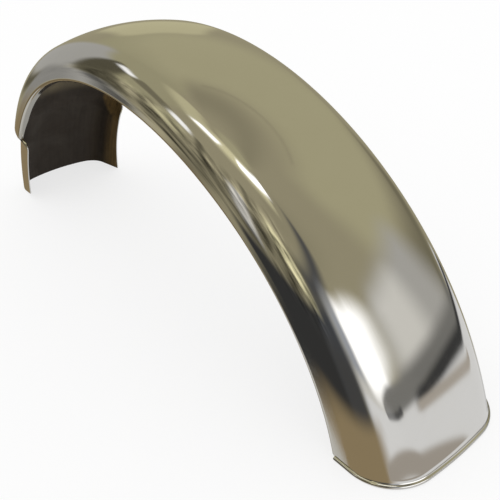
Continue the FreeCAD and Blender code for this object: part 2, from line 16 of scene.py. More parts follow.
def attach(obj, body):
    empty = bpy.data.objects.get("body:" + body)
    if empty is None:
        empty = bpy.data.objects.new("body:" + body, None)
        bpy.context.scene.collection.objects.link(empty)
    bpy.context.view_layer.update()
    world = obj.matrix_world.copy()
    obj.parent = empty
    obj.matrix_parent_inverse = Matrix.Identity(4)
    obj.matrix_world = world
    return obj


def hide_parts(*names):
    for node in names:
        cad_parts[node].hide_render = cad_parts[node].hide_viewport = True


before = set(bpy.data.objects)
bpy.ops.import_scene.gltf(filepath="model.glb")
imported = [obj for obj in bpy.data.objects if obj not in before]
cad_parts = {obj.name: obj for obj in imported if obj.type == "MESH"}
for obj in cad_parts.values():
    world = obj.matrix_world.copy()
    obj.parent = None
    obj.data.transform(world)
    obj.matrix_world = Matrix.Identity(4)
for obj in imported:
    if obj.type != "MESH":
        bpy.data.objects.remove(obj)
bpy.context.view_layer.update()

# %% [markdown]
# ## The section of the sheet
# Cut across, the blade is a wide C: a gently cambered crown, a round corner, a short wall, and an edge that
# is folded inwards as a lip. A list of typed points would do, but it would be hard to change. Here one vertex
# is swung about the centre of each arc, as a compass draws it, and pushed along each straight run, so the
# section follows from a few sizes. Only half of it is drawn, because a mirror gives the rest.

# %% Sizes of the sheet, in metres and degrees
CROWN_RADIUS = 0.350
AXLE = Vector((-0.00152, 0.0, -0.109))
GAUGE = 0.0012
FOLD_RADIUS = 0.0035
LIP_WIDTH = 0.008

Shape = namedtuple("Shape", "half_width depth draft corner camber")
MAIN_SHAPE = Shape(half_width=0.066, depth=0.037, draft=4.6, corner=0.027, camber=0.188)
REAR_SHAPE = Shape(half_width=0.065, depth=0.0585, draft=0.5, corner=0.039, camber=0.360)
TONGUE_SHAPE = Shape(half_width=0.064, depth=0.064, draft=9.7, corner=0.0275, camber=0.150)
FOOT_DEPTH = MAIN_SHAPE.depth - FOLD_RADIUS * math.cos(math.radians(MAIN_SHAPE.draft))
print("sheet %.1f mm thick, crown radius %.0f mm" % (GAUGE * 1000, CROWN_RADIUS * 1000))


# %% A compass and a ruler for one vertex
def swing(bm, tip, centre, degrees, steps):
    """Draw an arc by swinging the last vertex about a centre in the plane of the section."""
    made = bmesh.ops.spin(
        bm, geom=[tip], cent=centre, axis=(1, 0, 0), angle=math.radians(degrees), steps=steps)
    return made["geom_last"][0]


def push(bm, tip, move, steps):
    """Draw a straight run by extruding the last vertex in equal steps."""
    for _ in range(steps):
        tip = bmesh.ops.extrude_vert_indiv(bm, verts=[tip])["verts"][0]
        bmesh.ops.translate(bm, verts=[tip], vec=move / steps)
    return tip


def corner_centre(shape):
    """Centre of the corner arc that meets the crown arc and the sloping wall without a kink.

    The wall's length up to that arc comes with it.
    """
    lean = math.radians(shape.draft)
    side = shape.half_width - shape.corner * math.cos(lean)
    rise = shape.camber - shape.depth - shape.corner * math.sin(lean)
    half = rise * math.cos(lean) - side * math.sin(lean)
    rest = side * side + rise * rise - (shape.camber - shape.corner) ** 2
    wall = -half + math.sqrt(half * half - rest)
    return Vector((0, side - wall * math.sin(lean), rise + wall * math.cos(lean) - shape.camber)), wall


# %% Draw half a section
CROWN_STEPS = 16
CORNER_STEPS = 28
WALL_STEPS = 8
FOLD_STEPS = 8
LIP_STEPS = 2
EDGE_STEPS = 4


def draw_half_section(shape, edge=None):
    """The sheet's outer line from the middle of the crown to its edge, at the origin, outwards along Z.

    With no edge given the wall is folded in as a lip, and otherwise it runs on plain to that place. The
    line is drawn in a small bmesh of its own: an operator looks through the whole mesh that it works in.
    """
    bm = bmesh.new()
    centre, wall = corner_centre(shape)
    meet = math.degrees(math.atan2(centre.z + shape.camber, centre.y))
    lean = math.radians(shape.draft)
    down = Vector((0, math.sin(lean), -math.cos(lean)))
    out = Vector((0, math.cos(lean), math.sin(lean)))
    tip = bm.verts.new((0, 0, 0))
    tip = swing(bm, tip, (0, 0, -shape.camber), meet - 90.0, CROWN_STEPS)
    tip = swing(bm, tip, centre, shape.draft - meet, CORNER_STEPS)
    if edge is None:
        tip = push(bm, tip, down * (wall - FOLD_RADIUS), WALL_STEPS)
        tip = swing(bm, tip, tip.co - out * FOLD_RADIUS, -90.0, FOLD_STEPS)
        push(bm, tip, -out * (LIP_WIDTH - FOLD_RADIUS), LIP_STEPS)
    else:
        tip = push(bm, tip, down * (wall - (shape.depth - FOOT_DEPTH) / math.cos(lean)), WALL_STEPS)
        push(bm, tip, edge - tip.co, EDGE_STEPS)
    return bm


# %% Stand a section on the crown
FAR, NEAR = 1, -1


def pour(bm, other):
    """Add all of another bmesh to this one."""
    carrier = bpy.data.meshes.new("carrier")
    other.to_mesh(carrier)
    other.free()
    bm.from_mesh(carrier)
    bpy.data.meshes.remove(carrier)


def stand_on_crown(bm, section, degrees, tilt=0.0, inset=0.0, side=FAR):
    """Set a drawn section on the crown, at an angle about the axle from the rear, and hand over its row."""
    turn = Matrix.Rotation(math.radians(90.0 - degrees + tilt), 3, "Y")
    bmesh.ops.scale(section, verts=section.verts[:], vec=(1, side, 1))
    bmesh.ops.rotate(section, verts=section.verts[:], cent=(0, 0, 0), matrix=turn)
    at = math.radians(degrees)
    reach = CROWN_RADIUS - inset
    place = AXLE + Vector((reach * math.cos(at), 0, reach * math.sin(at)))
    bmesh.ops.translate(section, verts=section.verts[:], vec=place)
    first = len(bm.verts)
    pour(bm, section)
    bm.verts.ensure_lookup_table()
    return bm.verts[first:]


def line_edges(bm, verts):
    """The edges that join a row of vertices."""
    return [bm.edges.get(pair) for pair in zip(verts, verts[1:])]


# %% [markdown]
# ## The arch over the wheel
# Most of the blade has the same section all the way round, so it is one spin about the wheel's axle. The
# spin starts where the lip stops near the front and ends where the walls begin to grow deeper. On the far
# side the lip stops a few steps sooner than on the near side, so the spin starts at that place.

# %% Spin the main arch
LIP_STOP = 140.6
FLARE_ARC = 38.0
BEAD_RADIUS = 0.0017
REAR_ANGLE = math.degrees(math.asin((-AXLE.z + BEAD_RADIUS) / CROWN_RADIUS))
FLARE_ANGLE = REAR_ANGLE + FLARE_ARC
MAIN_STEPS = 168
SOONER_STEPS = 12
PITCH = (LIP_STOP - FLARE_ANGLE) / MAIN_STEPS
FAR_LIP_STOP = LIP_STOP - SOONER_STEPS * PITCH


def spin_row(bm, row, degrees, steps):
    """Spin a row of vertices about the axle, towards the rear, and hand over the last row's edges."""
    spun = bmesh.ops.spin(
        bm, geom=row + line_edges(bm, row), cent=AXLE, axis=(0, 1, 0),
        angle=math.radians(degrees), steps=steps)
    return [part for part in spun["geom_last"] if isinstance(part, bmesh.types.BMEdge)]


bm = bmesh.new()
front_row = stand_on_crown(bm, draw_half_section(MAIN_SHAPE), FAR_LIP_STOP)
flare_row = spin_row(bm, front_row, FAR_LIP_STOP - FLARE_ANGLE, MAIN_STEPS - SOONER_STEPS)
print("main arch: %d degrees, %d faces" % (FAR_LIP_STOP - FLARE_ANGLE, len(bm.faces)))

# %% [markdown]
# ## The rear stretch
# Towards the rear the walls grow deeper, the corners rounder and the crown flatter, and the section turns
# until it lies level. A spin can't change its section, so here many sections are drawn, each a little
# further on, and every pair of neighbours is bridged.

# %% Bridge the sections of the rear stretch
FLARE_STEPS = 76


def mixed(first, last, share):
    """A shape that lies a share of the way from one to another."""
    return Shape(*(a + (b - a) * share for a, b in zip(first, last)))


for number in range(1, FLARE_STEPS + 1):
    share = number / FLARE_STEPS
    section = draw_half_section(mixed(MAIN_SHAPE, REAR_SHAPE, share ** 2))
    rear_row = stand_on_crown(bm, section, FLARE_ANGLE - FLARE_ARC * share, tilt=REAR_ANGLE * share)
    next_row = line_edges(bm, rear_row)
    bmesh.ops.bridge_loops(bm, edges=flare_row + next_row)
    flare_row = next_row
print("rear stretch: walls %.0f to %.0f mm deep" % (MAIN_SHAPE.depth * 1000, REAR_SHAPE.depth * 1000))

# %% [markdown]
# ## The rolled bead
# The rear edge is rolled outwards into a bead, which stiffens it and leaves no sharp rim. A ring swept along
# the edge would do, but it would be a second piece. Here the last row of edges is extruded again and again,
# and each new row is moved on round a small circle, so the sheet itself makes the roll.

# %% Roll the rear edge
BEAD_STAND = 0.0015
BEAD_STEPS = 18
LIP_COUNT = FOLD_STEPS + LIP_STEPS
roll_middle = BEAD_STAND - BEAD_RADIUS
roll_start = math.acos(-roll_middle / BEAD_RADIUS)
roll_end = math.acos((-GAUGE - roll_middle) / BEAD_RADIUS) - 2 * math.pi

bmesh.ops.translate(bm, verts=rear_row, vec=(0, 0, BEAD_RADIUS * math.sin(roll_start)))
roll_row = rear_row[:len(rear_row) - LIP_COUNT]
feet = [vert.co.copy() for vert in roll_row]
outward = []
for here in range(len(feet)):
    along = feet[min(here + 1, len(feet) - 1)] - feet[max(here - 1, 0)]
    outward.append(Vector((along.y, -along.x, 0)).normalized())
outward[0] = Vector((1, 0, 0))
for number in range(1, BEAD_STEPS + 1):
    turned = roll_start + (roll_end - roll_start) * number / BEAD_STEPS
    made = bmesh.ops.extrude_edge_only(bm, edges=line_edges(bm, roll_row))["geom"]
    twin = {}
    for vert in [part for part in made if isinstance(part, bmesh.types.BMVert)]:
        for edge in vert.link_edges:
            twin[edge.other_vert(vert)] = vert
    roll_row = [twin[vert] for vert in roll_row]
    for vert, foot, out in zip(roll_row, feet, outward):
        vert.co = foot + out * (roll_middle + BEAD_RADIUS * math.cos(turned))
        vert.co.z = BEAD_RADIUS + BEAD_RADIUS * math.sin(turned)
print("bead: %.1f mm thick, %d rows" % (2000 * BEAD_RADIUS, BEAD_STEPS))

# %% [markdown]
# ## The other half
# Both sides are alike from the bead to where the lips stop. The second half could be drawn like the first,
# but a mirror is shorter and can't differ by mistake. It also welds the halves along the middle of the crown.

# %% Mirror the half
SEAM_GAP = 1e-6
bmesh.ops.mirror(
    bm, geom=bm.verts[:] + bm.edges[:] + bm.faces[:], matrix=Matrix(), merge_dist=SEAM_GAP, axis="Y")
print("both halves: %d faces" % len(bm.faces))

# %% [markdown]
# ## The front end
# At the front the lip stops, the sheet steps in a little and runs on as a plain tongue. Its wall isn't folded
# there, so it is deeper, and its free edge is one long sweep. The two sides differ: the near lip runs on for
# a few steps more. So each side is bridged by itself, from sections whose walls end on the sweep. Where the
# lip has just stopped, the sheet under its fold already leans in to the line of the tongue's wall.

# %% The sweep of the free edge
EDGE_RADIUS = 0.225
# two places on the sweep: how deep under the crown, and how far round the axle
EDGE_SPOTS = [(0.0505, 120.0), (0.0685, 166.0)]


def about_axle(reach, degrees):
    """Place in the blade's middle plane, given about the axle."""
    at = math.radians(degrees)
    return Vector((reach * math.cos(at), 0, reach * math.sin(at)))


edge_top, edge_low = (about_axle(CROWN_RADIUS - depth, degrees) for depth, degrees in EDGE_SPOTS)
half_chord = (edge_low - edge_top) / 2
towards_wheel = Vector((-half_chord.z, 0, half_chord.x)).normalized()
sweep_centre = edge_top + half_chord + towards_wheel * math.sqrt(EDGE_RADIUS ** 2 - half_chord.length ** 2)


def edge_depth(degrees):
    """How far under the crown the free edge lies at an angle about the axle."""
    spoke = about_axle(1.0, degrees)
    near = sweep_centre.dot(spoke)
    return CROWN_RADIUS - near - math.sqrt(near * near - sweep_centre.length_squared + EDGE_RADIUS ** 2)


STEP_ARC = 1.7
STEP_IN = 0.002
SHOULDER_RADIUS = 0.008


def free_edge(degrees, inset, lip_stop):
    """Where the wall ends in a section that is set in from the crown, in line with the tongue's wall.

    Close to where the lip stops, the edge climbs round a shoulder.
    """
    deep = edge_depth(degrees) - STEP_IN
    gone = math.radians(degrees - lip_stop) * (CROWN_RADIUS - deep)
    if gone < SHOULDER_RADIUS:
        deep -= SHOULDER_RADIUS - math.sqrt(SHOULDER_RADIUS ** 2 - (SHOULDER_RADIUS - gone) ** 2)
    short = TONGUE_SHAPE.depth - deep
    across = TONGUE_SHAPE.half_width - short * math.tan(math.radians(TONGUE_SHAPE.draft))
    return Vector((0, across, inset - STEP_IN - deep))


print("free edge: %.1f mm deep where the near lip stops" % (1000 * edge_depth(LIP_STOP)))

# %% Bridge the front end of each side
TONGUE_END = 174.0
TONGUE_STEPS = 48
STEP_ROWS = 10
JOIN_GAP = 1e-5


def bridge_front(bm, side, lip_stop, sooner_steps):
    """The unfolded sheet of one side, from where its lip stops to past the floor."""
    rows = [(MAIN_SHAPE, 0.0, lip_stop + PITCH * number) for number in range(sooner_steps)]
    for number in range(STEP_ROWS):
        share = number / STEP_ROWS
        rows.append((mixed(MAIN_SHAPE, TONGUE_SHAPE, share), STEP_IN * share, LIP_STOP + STEP_ARC * share))
    step_end = LIP_STOP + STEP_ARC
    for number in range(TONGUE_STEPS + 1):
        rows.append((TONGUE_SHAPE, STEP_IN, step_end + (TONGUE_END - step_end) * number / TONGUE_STEPS))
    last = None
    for shape, inset, degrees in rows:
        section = draw_half_section(shape, free_edge(degrees, inset, lip_stop))
        row = line_edges(bm, stand_on_crown(bm, section, degrees, inset=inset, side=side))
        if last:
            bmesh.ops.bridge_loops(bm, edges=last + row)
        last = row


front = bmesh.new()
bridge_front(front, FAR, FAR_LIP_STOP, SOONER_STEPS)
bridge_front(front, NEAR, LIP_STOP, 0)
near_row = stand_on_crown(front, draw_half_section(MAIN_SHAPE), LIP_STOP, side=NEAR)
spin_row(front, near_row, LIP_STOP - FAR_LIP_STOP, SOONER_STEPS)
pour(bm, front)
bmesh.ops.remove_doubles(bm, verts=bm.verts[:], dist=JOIN_GAP)
print("front end bridged, %d faces" % len(bm.faces))

# %% [markdown]
# ## Cuts at the front
# The tongue is cut level, so that the blade stands on it, the foot of its near wall is trimmed at a slant,
# and the near lip narrows to its end. A boolean would do, but it works on closed solids, and the sheet has
# no thickness yet. A plane that bisects only the parts which pass a test cuts an open sheet cleanly.

# %% Cut the tongue level with the floor
CUT_GAP = 1e-7


def parts_where(bm, test):
    """Vertices, edges and faces whose vertices all pass a test."""
    chosen = [vert for vert in bm.verts if test(vert.co)]
    kept = set(chosen)
    for part in list(bm.edges) + list(bm.faces):
        if all(vert in kept for vert in part.verts):
            chosen.append(part)
    return chosen


def cut_away(bm, test, place, away):
    """Cut the parts that pass a test along a plane, and drop what lies on the side that it faces."""
    bmesh.ops.bisect_plane(
        bm, geom=parts_where(bm, test), dist=CUT_GAP, plane_co=place, plane_no=away, clear_outer=True)


inner_drop = GAUGE * -AXLE.z / CROWN_RADIUS
cut_away(bm, lambda co: co.x < 0, (0, 0, inner_drop), (0, 0, -1))
print("tongue cut level, %d faces" % len(bm.faces))

# %% Trim the foot of the near wall
TRIM_START = -0.301
TRIM_SLOPE = math.radians(14.0)
TRIM_FRONT = -0.311
TRIM_BACK = -0.200
TRIM_HEIGHT = 0.030


def in_near_foot(co):
    """Whether a place lies low in the near wall of the tongue."""
    return TRIM_FRONT < co.x < TRIM_BACK and co.y < 0 and co.z < TRIM_HEIGHT


cut_away(bm, in_near_foot, (TRIM_START, 0, 0), (math.sin(TRIM_SLOPE), 0, -math.cos(TRIM_SLOPE)))
print("near wall trimmed, %d faces" % len(bm.faces))

# %% Narrow the end of the near lip
# where the trim starts and ends: how far round the axle, and how far across
LIP_TRIM = [(133.0, 0.058), (LIP_STOP, 0.061)]
LAST_ROW_SLACK = 1e-5
FOLD_SLACK = 1e-4

lip_reach = CROWN_RADIUS - MAIN_SHAPE.depth
trim_top, trim_low = (
    AXLE + about_axle(lip_reach, degrees) + Vector((0, -across, 0)) for degrees, across in LIP_TRIM)
trim_away = (trim_low - trim_top).cross(trim_top + trim_low - 2 * AXLE)
trim_away *= math.copysign(1.0, trim_away.y)
lip_start = about_axle(1.0, LIP_TRIM[0][0])
lip_end = about_axle(1.0, LIP_STOP)


def in_near_lip(co):
    """Whether a place lies in the last stretch of the near lip."""
    spot = (co - AXLE).xz
    past_start = lip_start.xz.cross(spot) > 0
    before_end = spot.cross(lip_end.xz) > -LAST_ROW_SLACK
    under_wall = spot.length < CROWN_RADIUS - FOOT_DEPTH - FOLD_SLACK
    return co.y < 0 and past_start and before_end and under_wall


cut_away(bm, in_near_lip, trim_top, trim_away)
print("near lip narrowed, %d faces" % len(bm.faces))

# %% [markdown]
# ## Outside and inside
# Spinning, bridging and mirroring leave some faces turned the wrong way, and the thickness and the two
# finishes both depend on which side is out. Blender can make all faces agree, but on an open sheet it may
# pick the inside. So the highest face decides: it has to look up.

# %% Turn all faces outwards
bmesh.ops.recalc_face_normals(bm, faces=bm.faces[:])
top_face = max(bm.faces, key=lambda face: face.calc_center_median().z)
if top_face.normal.z < 0:
    bmesh.ops.reverse_faces(bm, faces=bm.faces[:])
loose = [edge for edge in bm.edges if not edge.link_faces]
print("whole sheet: %d faces, %d loose edges" % (len(bm.faces), len(loose)))

# %% [markdown]
# ## Thickness
# So far the sheet has no thickness. A Solidify modifier adds it on the inside, so the outside keeps its
# place, and gives the inside its own material. A narrow Bevel takes the sharpness off the cut edges.

# %% Make the object and give it its thickness
EDGE_ROUND = 0.0002
EDGE_SEGMENTS = 2
EDGE_ANGLE = math.radians(55.0)

for face in bm.faces:
    face.smooth = True
mesh = bpy.data.meshes.new("mudguard_sheet")
bm.to_mesh(mesh)
bm.free()
blade = bpy.data.objects.new("mudguard_sheet", mesh)
bpy.context.scene.collection.objects.link(blade)
thicken = blade.modifiers.new("thickness", "SOLIDIFY")
thicken.thickness = GAUGE
thicken.offset = -1.0
thicken.use_even_offset = True
thicken.material_offset = 1
soften = blade.modifiers.new("edges", "BEVEL")
soften.width = EDGE_ROUND
soften.segments = EDGE_SEGMENTS
soften.limit_method = "ANGLE"
soften.angle_limit = EDGE_ANGLE
soften.harden_normals = True
print("sheet: %d vertices before thickness" % len(mesh.vertices))

# %% [markdown]
# ## Marks of the polishing wheel
# A polished sheet is never a perfect mirror. The wheel leaves fine lines along the blade and slow waves in
# the surface, hands leave cloudy patches, and here and there is a tiny pit. The lines follow the arch, which
# plain object coordinates don't, so the group first bends them straight: the angle about the axle becomes a
# length along the crown. Both finishes use these marks in different strength, so they are one node group,
# which also hands over how far along and across the sheet a place lies.


# %% Short ways to add nodes
def new_group(name, inputs, outputs):
    """An empty shader node group with named sockets."""
    group = bpy.data.node_groups.new(name, "ShaderNodeTree")
    for kind, label in inputs:
        group.interface.new_socket(label, in_out="INPUT", socket_type=kind)
    for kind, label in outputs:
        group.interface.new_socket(label, in_out="OUTPUT", socket_type=kind)
    return group, group.nodes.new("NodeGroupInput"), group.nodes.new("NodeGroupOutput")


def node(tree, kind, **settings):
    """Add a node, set its properties, and set or link its inputs from the rest."""
    made = tree.nodes.new(kind)
    inputs = settings.pop("inputs", {})
    for label, value in settings.items():
        setattr(made, label, value)
    for label, value in inputs.items():
        socket = made.inputs[label]
        if isinstance(value, bpy.types.NodeSocket):
            tree.links.new(value, socket)
        else:
            socket.default_value = value
    return made


def maths(tree, operation, first, second=0.0, third=0.0):
    """A Math node's result."""
    made = node(tree, "ShaderNodeMath", operation=operation, inputs={0: first, 1: second, 2: third})
    return made.outputs[0]


def remap(tree, value, start, end, low, high, **settings):
    """A value whose range from start to end is stretched to another one."""
    made = node(tree, "ShaderNodeMapRange", **settings, inputs={
        "Value": value, "From Min": start, "From Max": end, "To Min": low, "To Max": high})
    return made.outputs[0]


def mix_colour(tree, share, first, second, **settings):
    """A colour that lies a share of the way from one to another."""
    made = node(tree, "ShaderNodeMix", data_type="RGBA", **settings, inputs={
        "Factor": share, "A": first, "B": second})
    return made.outputs["Result"]


# %% Unroll the arch inside a node group
marks, group_in, group_out = new_group(
    "polishing_marks",
    [("NodeSocketVector", "Object"), ("NodeSocketFloat", "Line Length"), ("NodeSocketFloat", "Line Width")],
    [("NodeSocketFloat", label) for label in ("Lines", "Waves", "Clouds", "Pits", "Along", "Across")])
apart = node(marks, "ShaderNodeSeparateXYZ", inputs={0: group_in.outputs["Object"]})
across = apart.outputs["Y"]
back = maths(marks, "SUBTRACT", apart.outputs["X"], AXLE.x)
high = maths(marks, "SUBTRACT", apart.outputs["Z"], AXLE.z)
along = maths(marks, "MULTIPLY", maths(marks, "ARCTAN2", high, back), CROWN_RADIUS)
reach = maths(marks, "SQRT", maths(
    marks, "ADD", maths(marks, "MULTIPLY", back, back), maths(marks, "MULTIPLY", high, high)))
unrolled = node(marks, "ShaderNodeCombineXYZ", inputs={"X": along, "Y": across, "Z": reach})
flat = unrolled.outputs[0]
print("arch unrolled by %d nodes" % len(marks.nodes))

# %% Lines, waves, clouds and pits
WAVES_PER_METRE = (9.0, 34.0, 34.0)
CLOUDS_PER_METRE = 26.0
PIT_CELLS_PER_METRE = 30.0
PIT_CORE, PIT_RIM = 0.012, 0.03

per_length = maths(marks, "DIVIDE", 1.0, group_in.outputs["Line Length"])
per_width = maths(marks, "DIVIDE", 1.0, group_in.outputs["Line Width"])
stretch = node(marks, "ShaderNodeCombineXYZ", inputs={"X": per_length, "Y": per_width, "Z": per_width})
line_space = node(marks, "ShaderNodeVectorMath", operation="MULTIPLY", inputs={
    0: flat, 1: stretch.outputs[0]})
lines = node(marks, "ShaderNodeTexNoise", inputs={
    "Vector": line_space.outputs[0], "Scale": 1.0, "Detail": 4.0, "Roughness": 0.65})
wave_space = node(marks, "ShaderNodeVectorMath", operation="MULTIPLY", inputs={0: flat, 1: WAVES_PER_METRE})
waves = node(marks, "ShaderNodeTexNoise", inputs={
    "Vector": wave_space.outputs[0], "Scale": 1.0, "Detail": 1.0, "Roughness": 0.4})
clouds = node(marks, "ShaderNodeTexNoise", inputs={
    "Vector": flat, "Scale": CLOUDS_PER_METRE, "Detail": 6.0, "Roughness": 0.62, "Distortion": 0.6})
pit_field = node(marks, "ShaderNodeTexVoronoi", feature="F1", inputs={
    "Vector": flat, "Scale": PIT_CELLS_PER_METRE, "Randomness": 1.0})
pits = remap(marks, pit_field.outputs["Distance"], PIT_CORE, PIT_RIM, 1.0, 0.0)
for label, value in (
        ("Lines", lines.outputs["Fac"]), ("Waves", waves.outputs["Fac"]), ("Clouds", clouds.outputs["Fac"]),
        ("Pits", pits), ("Along", along), ("Across", across)):
    marks.links.new(value, group_out.inputs[label])
print("group polishing_marks: %d nodes" % len(marks.nodes))

# %% [markdown]
# ## Polished outside
# The outside is bare polished steel. Its colour is nearly all reflection, so what makes it look real is how
# its gloss changes: a little hazier in cloudy patches and along the polishing lines, with a few tiny pits.
# One even roughness would look like plastic film, so the marks drive the roughness and a very shallow bump.

# %% Colour of the polished steel
BRIGHT_STEEL = (0.815, 0.805, 0.785, 1)
CLOUDED_STEEL = (0.785, 0.772, 0.740, 1)
PIT_DIRT = (0.10, 0.09, 0.08, 1)
WHEEL_LINES = {"Line Length": 0.045, "Line Width": 0.0011}

steel = bpy.data.materials.new("polished_steel")
steel.use_nodes = True
tree = steel.node_tree
shader = tree.nodes["Principled BSDF"]
shader.inputs["Metallic"].default_value = 1.0
place = node(tree, "ShaderNodeTexCoord")
wheel = node(tree, "ShaderNodeGroup", node_tree=marks, inputs={
    "Object": place.outputs["Object"], **WHEEL_LINES})
tint = mix_colour(tree, wheel.outputs["Clouds"], BRIGHT_STEEL, CLOUDED_STEEL)
pitted = mix_colour(tree, wheel.outputs["Pits"], tint, PIT_DIRT)
tree.links.new(pitted, shader.inputs["Base Color"])
print("colour of polished_steel: %d nodes" % len(tree.nodes))

# %% Gloss and relief of the polished steel
CLEAR_SPOT, CLOUDED_SPOT = 0.35, 0.75
CLEAR_ROUGHNESS, CLOUDED_ROUGHNESS = 0.035, 0.085
LINE_ROUGHNESS = 0.03
WAVES_TO_LINES = 5.0
MARK_DEPTH = 0.000006

haze = remap(tree, wheel.outputs["Clouds"], CLEAR_SPOT, CLOUDED_SPOT, CLEAR_ROUGHNESS, CLOUDED_ROUGHNESS)
hazy = maths(tree, "MULTIPLY_ADD", wheel.outputs["Lines"], LINE_ROUGHNESS, haze)
height = maths(tree, "MULTIPLY_ADD", wheel.outputs["Waves"], WAVES_TO_LINES, wheel.outputs["Lines"])
relief = node(tree, "ShaderNodeBump", inputs={"Height": height, "Distance": MARK_DEPTH, "Strength": 1.0})
tree.links.new(hazy, shader.inputs["Roughness"])
tree.links.new(relief.outputs["Normal"], shader.inputs["Normal"])
print("polished_steel: %d nodes" % len(tree.nodes))

# %% [markdown]
# ## Dull inside
# Nobody polishes the inside. It keeps the dark scale of the rolled sheet, with streaks along the blade and
# gritty dirt, so it takes the same marks with coarser values and far less gloss. A paler tone lies in patches
# along the arch and stops at the front end, partly dust and partly painted light that falls on the inside,
# and the walls have rusty streaks.

# %% Dark scale with streaks and dirt
DARK_SCALE = (0.018, 0.015, 0.012, 1)
WORN_SCALE = (0.080, 0.064, 0.048, 1)
DIRT = (0.045, 0.035, 0.027, 1)
ROLLING_LINES = {"Line Length": 0.09, "Line Width": 0.004}

inside = bpy.data.materials.new("dull_inside")
inside.use_nodes = True
tree = inside.node_tree
shader = tree.nodes["Principled BSDF"]
shader.inputs["Metallic"].default_value = 0.4
shader.inputs["Specular IOR Level"].default_value = 0.25
place = node(tree, "ShaderNodeTexCoord")
scale = node(tree, "ShaderNodeGroup", node_tree=marks, inputs={
    "Object": place.outputs["Object"], **ROLLING_LINES})
streaks = mix_colour(tree, scale.outputs["Lines"], DARK_SCALE, WORN_SCALE)
dirty = mix_colour(tree, scale.outputs["Clouds"], streaks, DIRT)
print("scale and dirt: %d nodes" % len(tree.nodes))

# %% Pale dust and painted light along the arch, and rust on the walls
# a pale colour, partly dust and partly painted light on the inside: full up to 135 degrees round the axle,
# gone by 138.5
DUST_AND_LIGHT = (0.26, 0.22, 0.14, 1)
DUST_AND_LIGHT_FULL = CROWN_RADIUS * math.radians(135.0)
DUST_AND_LIGHT_STOP = CROWN_RADIUS * math.radians(138.5)
RUST = (0.30, 0.19, 0.06, 1)
RUST_START = 0.056
RUST_FULL = 0.060

# painted light and dust: the inside of the arch is painted paler in cloudy patches everywhere except the
# front end
arch = remap(tree, scale.outputs["Along"], DUST_AND_LIGHT_STOP, DUST_AND_LIGHT_FULL, 0.0, 1.0, interpolation_type="SMOOTHSTEP")
dust_and_light = maths(tree, "MULTIPLY", arch, scale.outputs["Clouds"])
dusty_and_lit = mix_colour(tree, dust_and_light, dirty, DUST_AND_LIGHT)
aside = maths(tree, "ABSOLUTE", scale.outputs["Across"])
wall = remap(tree, aside, RUST_START, RUST_FULL, 0.0, 1.0, interpolation_type="SMOOTHSTEP")
rust = maths(tree, "MULTIPLY", wall, scale.outputs["Lines"])
rusty = mix_colour(tree, rust, dusty_and_lit, RUST)
tree.links.new(rusty, shader.inputs["Base Color"])
print("colour of dull_inside: %d nodes" % len(tree.nodes))

# %% Low gloss and grit
SMOOTH_SPOT, GRITTY_SPOT = 0.3, 0.7
SMOOTH_ROUGHNESS, GRITTY_ROUGHNESS = 0.42, 0.68
GRIT_HEIGHT = 0.0004
GRIT_STRENGTH = 0.4

dull = remap(tree, scale.outputs["Clouds"], SMOOTH_SPOT, GRITTY_SPOT, SMOOTH_ROUGHNESS, GRITTY_ROUGHNESS)
grit = node(tree, "ShaderNodeBump", inputs={
    "Height": scale.outputs["Clouds"], "Distance": GRIT_HEIGHT, "Strength": GRIT_STRENGTH})
tree.links.new(dull, shader.inputs["Roughness"])
tree.links.new(grit.outputs["Normal"], shader.inputs["Normal"])
print("dull_inside: %d nodes" % len(tree.nodes))

# %% [markdown]
# ## Dress the sheet
# The outside of the sheet takes the first finish, and the thickness takes the next one for the inside. The
# sheet then rides on the part's one body and stands in for its solid, so it goes wherever the part goes.

# %% Put the finishes on the sheet and tie it to the measured part
for material in (steel, inside):
    blade.data.materials.append(material)
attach(blade, "root")
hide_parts("mudguard_blade")
print("finishes:", [material.name for material in blade.data.materials])

# %% [markdown]
# ## The room in the mirror
# Polished metal looks like what stands around it, so the studio is half of the picture. Real walls and lamps
# round the blade would do, but each would throw its own light and shadow. Here a very large dome, which only
# reflections can see, is painted as a plain room: beige walls, a white window, ceiling lights, a dark bench
# with a brown edge and a pale floor. Every panel is a patch with rounded corners and soft edges, placed by
# how far round the object it stands and how high, in degrees.

# %% A node group for one soft panel
panel, group_in, group_out = new_group(
    "soft_panel",
    [("NodeSocketFloat", label) for label in (
        "Turn", "Height", "Middle", "Level", "Half Width", "Half Height", "Round", "Soft",
        "Slant", "Lean", "Bow")],
    [("NodeSocketFloat", "Mask")])
feed = group_in.outputs
aside = maths(panel, "WRAP", maths(panel, "SUBTRACT", feed["Turn"], feed["Middle"]), 180.0, -180.0)
above = maths(panel, "SUBTRACT", feed["Height"], feed["Level"])
tilted = maths(panel, "SUBTRACT", above, maths(panel, "MULTIPLY", feed["Slant"], aside))
arched = maths(panel, "SUBTRACT", tilted, maths(
    panel, "MULTIPLY", feed["Bow"], maths(panel, "MULTIPLY", aside, aside)))
leaning = maths(panel, "SUBTRACT", aside, maths(panel, "MULTIPLY", feed["Lean"], above))
past = []
for offset, half in ((leaning, "Half Width"), (arched, "Half Height")):
    inner_half = maths(panel, "SUBTRACT", feed[half], feed["Round"])
    past.append(maths(panel, "SUBTRACT", maths(panel, "ABSOLUTE", offset), inner_half))
outer = [maths(panel, "MAXIMUM", value, 0.0) for value in past]
corner_way = maths(panel, "SQRT", maths(
    panel, "ADD", maths(panel, "MULTIPLY", outer[0], outer[0]), maths(panel, "MULTIPLY", outer[1], outer[1])))
inner_way = maths(panel, "MINIMUM", maths(panel, "MAXIMUM", past[0], past[1]), 0.0)
outside = maths(panel, "SUBTRACT", maths(panel, "ADD", corner_way, inner_way), feed["Round"])
inner_soft = maths(panel, "MULTIPLY", feed["Soft"], -1.0)
fade = remap(panel, outside, inner_soft, feed["Soft"], 1.0, 0.0, interpolation_type="SMOOTHSTEP")
panel.links.new(fade, group_out.inputs["Mask"])
print("group soft_panel: %d nodes" % len(panel.nodes))

